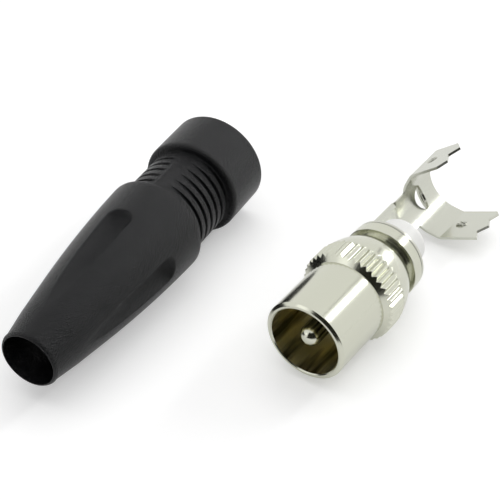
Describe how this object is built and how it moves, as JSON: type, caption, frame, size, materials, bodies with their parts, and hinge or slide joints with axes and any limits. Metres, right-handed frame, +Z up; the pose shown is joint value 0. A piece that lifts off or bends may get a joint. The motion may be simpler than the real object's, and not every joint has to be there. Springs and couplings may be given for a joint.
{
  "type": "coaxial aerial plug",
  "caption": "Male push-on coaxial plug: knurled tube with centre pin, white bush and stamped cable clamp, beside its black moulded grip sleeve.",
  "frame": {"origin": "on the floor, under the centre of the bounding box of the plug and its sleeve", "axes": "+Y along the plug's axis from its mating rim towards the cable end, +Z up"},
  "size_m": [0.0372, 0.0525, 0.012],
  "materials": {
    "nickel_plated_brass": "polished nickel plate",
    "pin_nickel": "polished nickel plate",
    "white_plastic": "satin moulded",
    "clamp_sheet": "bright plated sheet",
    "black_plastic": "fine spark-eroded grain"
  },
  "bodies": {
    "root": {"outer_shell": "nickel_plated_brass", "centre_pin": "pin_nickel", "insulator": "white_plastic", "cable_clamp": "clamp_sheet", "sleeve": "black_plastic"}
  },
  "joints": []
}
